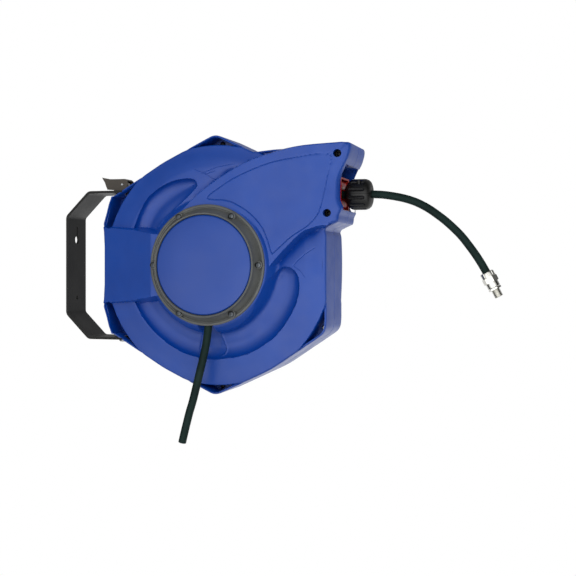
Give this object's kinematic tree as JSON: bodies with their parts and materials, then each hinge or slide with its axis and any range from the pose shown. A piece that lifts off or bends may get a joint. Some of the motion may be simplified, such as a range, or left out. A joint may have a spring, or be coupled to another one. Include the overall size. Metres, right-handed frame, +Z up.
{
  "type": "wall-mounted retractable air hose reel",
  "caption": "Wall-mounted spring-return reel for a compressed-air hose: lobed two-shell housing that swivels on a steel bracket, with roller guide, hose stop and threaded end fitting.",
  "frame": {"origin": "centre of the bracket's wall face, on the wall plane, level with the drum axis", "axes": "+X points away from the wall towards the hose outlet, -Y is the reel's front face with the disc, +Z is up"},
  "size_m": [0.6983, 0.189, 0.4706],
  "materials": {
    "bracket_black": "black powder coat, fine satin texture, on folded strip steel",
    "housing_blue": "moulded polypropylene or ABS in blue, satin with a very fine spark texture",
    "disc_blue": "blue disc with a fine satin face, left blank",
    "ring_grey": "moulded grey-black nylon, satin",
    "plastic_black": "moulded black nylon, satin",
    "guide_red": "moulded red acetal, satin",
    "hose": "green-black polyurethane hose, softly glossy",
    "steel": "zinc-plated steel",
    "nickel": "nickel-plated brass, turned and knurled",
    "brass": "turned brass",
    "nylon": "natural nylon, satin",
    "handle_taupe": "pressed steel with a brown-grey metallic coat"
  },
  "bodies": {
    "bracket": {"wall_bracket": "bracket_black", "lower_pivot_pin": "steel"},
    "pull_pin": {"pull_pin": "steel", "handle_rivet": "steel"},
    "release_handle": {"release_handle": "handle_taupe"},
    "housing": {"front_shell": "housing_blue", "rear_shell": "housing_blue", "upper_pivot_bush": "nylon", "lower_pivot_bush": "nylon", "shell_screw_1": "steel", "shell_screw_2": "steel", "shell_screw_3": "steel", "shell_screw_4": "steel", "shell_screw_5": "steel", "shell_screw_6": "steel", "shell_screw_7": "steel", "cover_ring": "ring_grey", "front_disc": "disc_blue", "cover_screw_1": "ring_grey", "cover_screw_2": "ring_grey", "cover_screw_3": "ring_grey", "cover_screw_4": "ring_grey", "cover_screw_5": "ring_grey", "cover_screw_6": "ring_grey", "axle": "steel", "axle_nut": "steel", "rear_cap": "ring_grey", "inlet_elbow": "brass", "inlet_hose": "hose", "pawl_pin": "steel", "pawl_spring": "steel", "roller_cage": "guide_red", "roller_pin_lower": "steel", "roller_pin_upper": "steel", "roller_pin_front": "steel", "roller_pin_rear": "steel", "hose_lead": "hose", "outlet_hose": "hose", "hose_stop_upper": "plastic_black", "hose_stop_lower": "plastic_black", "stop_screw_front": "steel", "stop_screw_rear": "steel", "fitting_nut": "nickel", "fitting_body": "nickel"},
    "drum": {"drum_front_flange": "plastic_black", "drum_rear_flange": "plastic_black", "drum_hub": "plastic_black", "drum_front_bearing": "nylon", "drum_rear_bearing": "nylon", "ratchet_ring": "steel", "air_sleeve": "brass", "air_tube": "brass", "mainspring": "steel", "hose_coil": "hose"},
    "pawl": {"pawl": "steel"},
    "roller_lower": {"guide_roller_lower": "guide_red"},
    "roller_upper": {"guide_roller_upper": "guide_red"},
    "roller_front": {"guide_roller_front": "guide_red"},
    "roller_rear": {"guide_roller_rear": "guide_red"}
  },
  "joints": [
    {"name": "pin_lift", "type": "slide", "parent": "bracket", "child": "pull_pin", "axis": [0, 0, 1], "range_m": [0, 0.022]},
    {"name": "handle_tilt", "type": "hinge", "parent": "pull_pin", "child": "release_handle", "pos_m": [0.092, 0, 0.131], "axis": [0, 1, 0], "range_deg": [0, 75]},
    {"name": "housing_swivel", "type": "hinge", "parent": "bracket", "child": "housing", "pos_m": [0.092, 0, 0], "axis": [0, 0, 1], "range_deg": [-60, 60]},
    {"name": "drum_spin", "type": "hinge", "parent": "housing", "child": "drum", "pos_m": [0.267, 0, 0], "axis": [0, 1, 0], "range_deg": [0, 6570], "stiffness_Nm_per_rad": 0.02, "springref_deg": -5156.62, "deforming": ["mainspring"]},
    {"name": "pawl_drop", "type": "hinge", "parent": "housing", "child": "pawl", "pos_m": [0.24474, -0.0405, 0.08307], "axis": [0, 1, 0], "range_deg": [0, 24], "stiffness_Nm_per_rad": 0.02, "springref_deg": -34.38},
    {"name": "roller_lower_spin", "type": "hinge", "parent": "housing", "child": "roller_lower", "pos_m": [0.451, 0, 0.0931], "axis": [0, 1, 0], "continuous": true},
    {"name": "roller_upper_spin", "type": "hinge", "parent": "housing", "child": "roller_upper", "pos_m": [0.451, 0, 0.1221], "axis": [0, 1, 0], "continuous": true},
    {"name": "roller_front_spin", "type": "hinge", "parent": "housing", "child": "roller_front", "pos_m": [0.431, -0.0145, 0.1076], "axis": [0, 0, 1], "continuous": true},
    {"name": "roller_rear_spin", "type": "hinge", "parent": "housing", "child": "roller_rear", "pos_m": [0.431, 0.0145, 0.1076], "axis": [0, 0, 1], "continuous": true}
  ]
}
